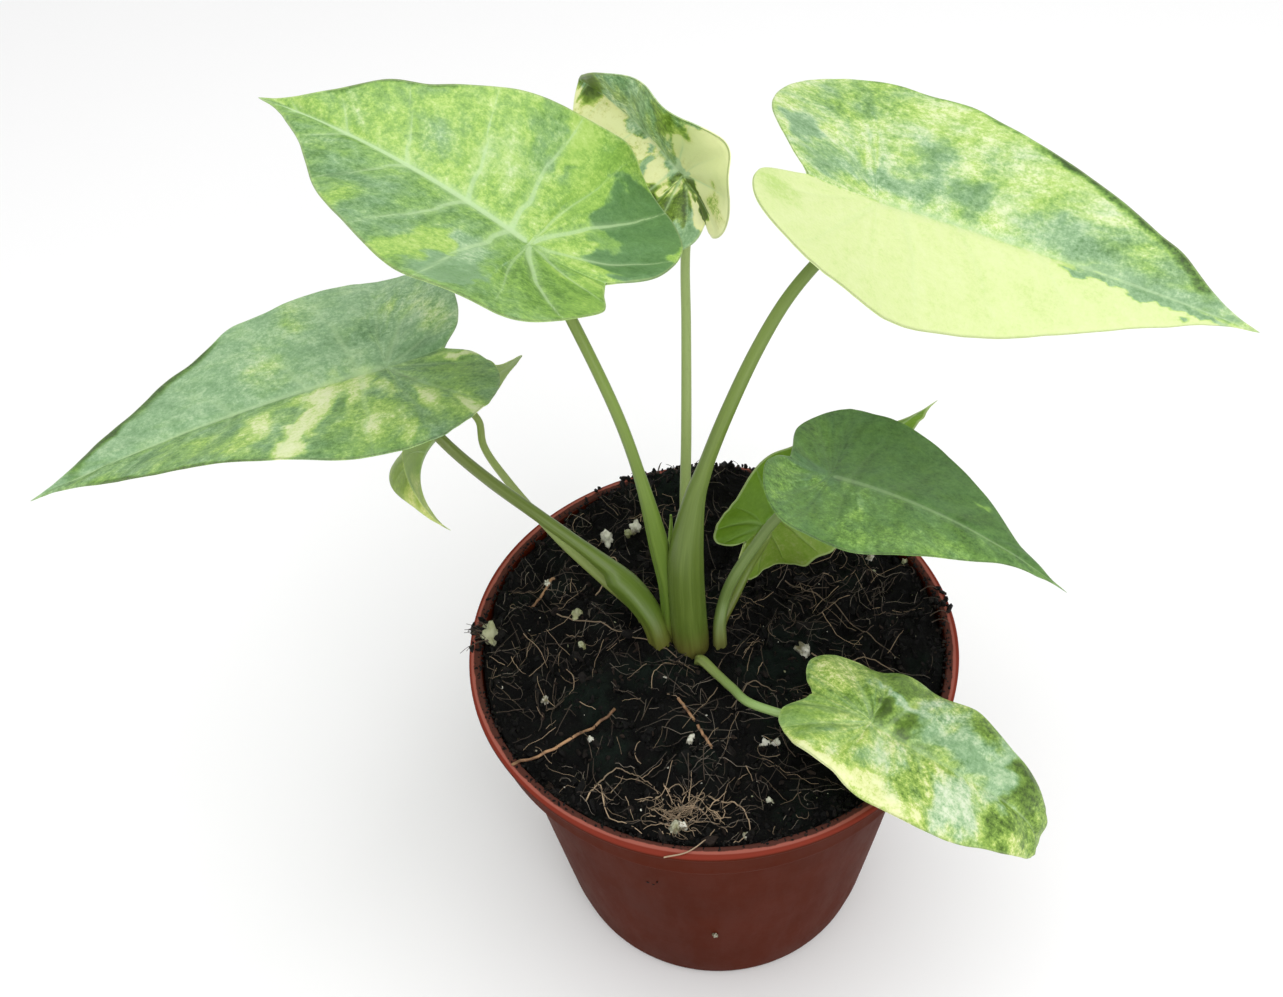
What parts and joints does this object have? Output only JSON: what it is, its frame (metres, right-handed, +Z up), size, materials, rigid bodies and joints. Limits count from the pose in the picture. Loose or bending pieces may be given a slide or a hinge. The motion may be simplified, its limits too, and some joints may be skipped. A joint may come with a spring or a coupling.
{
  "type": "potted alocasia plant",
  "caption": "Variegated dwarf alocasia with heart-shaped leaves on slender stalks, rooted in coarse soil in a round tapered nursery pot.",
  "frame": {"origin": "centre of the flat underside of the pot, where it rests", "axes": "+Z up through the pot to the leaves, -Y towards the front, +X to the right seen from the front"},
  "size_m": [0.252, 0.1353, 0.2223],
  "materials": {
    "pot_plastic": "satin terracotta-brown thermoformed plastic",
    "soil": "near-black coarse potting mix with fibres and white grains",
    "stalk_green": "smooth waxy green leaf stalk",
    "stalk_pale": "pale green waxy leaf stalk",
    "blade_lime": "waxy leaf, lime green mottled with grey-green",
    "blade_green": "waxy leaf, mid green mottled with cream and lime",
    "blade_dark": "waxy leaf, dark grey-green speckled with lime"
  },
  "bodies": {
    "root": {"pot": "pot_plastic", "soil": "soil", "stalk_upper_left": "stalk_green", "stalk_upper_right": "stalk_green", "stalk_low_left": "stalk_green", "stalk_back": "stalk_pale", "stalk_right": "stalk_green", "stalk_behind_right": "stalk_green", "stalk_front": "stalk_green", "stalk_hanging": "stalk_pale", "blade_upper_left": "blade_lime", "blade_upper_right": "blade_lime", "blade_low_left": "blade_green", "blade_back": "blade_dark", "blade_right": "blade_dark", "blade_behind_right": "blade_green", "blade_front": "blade_green", "blade_hanging": "blade_green", "sheath_scale": "stalk_pale"}
  },
  "joints": []
}
